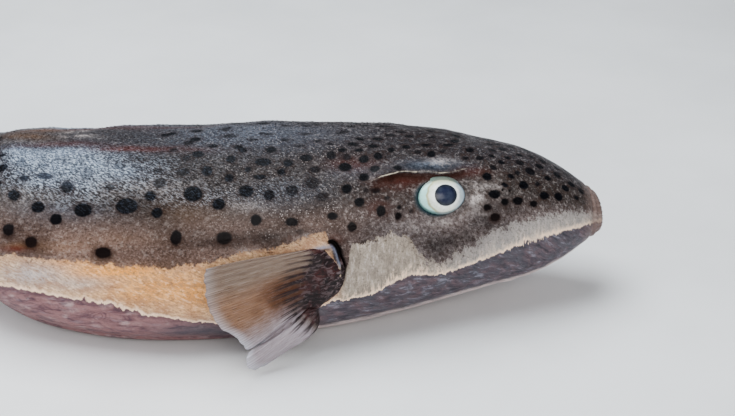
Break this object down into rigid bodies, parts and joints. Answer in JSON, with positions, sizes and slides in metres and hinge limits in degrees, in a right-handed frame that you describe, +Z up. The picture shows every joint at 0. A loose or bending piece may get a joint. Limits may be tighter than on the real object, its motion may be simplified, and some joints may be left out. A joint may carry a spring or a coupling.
{
  "type": "spotted puffer fish",
  "caption": "Life-size still model of a spotted puffer lying on its belly, tail swung to its left, fins part folded, blunt head with beak and large pale eyes.",
  "frame": {"origin": "on the flat of the belly that rests on the floor, under the thick of the trunk", "axes": "+X towards the snout along the middle of the trunk, +Y to the fish's left, +Z up"},
  "size_m": [0.5457, 0.2646, 0.1106],
  "materials": {
    "skin": "moist, with dark spots over grey brown, a silver band and a pale belly",
    "fin": "thin and translucent, dark at the root",
    "eye": "wet, with a dark pupil",
    "tooth": "smooth, off white"
  },
  "bodies": {
    "root": {"head": "skin", "chest": "skin", "belly": "skin", "vent_region": "skin", "tail_stem": "skin", "pectoral_fin_right": "fin", "pectoral_fin_left": "fin", "dorsal_fin": "fin", "anal_fin": "fin", "caudal_fin": "fin", "eye_right": "eye", "eye_left": "eye", "beak_upper": "tooth", "beak_lower": "tooth"}
  },
  "joints": []
}
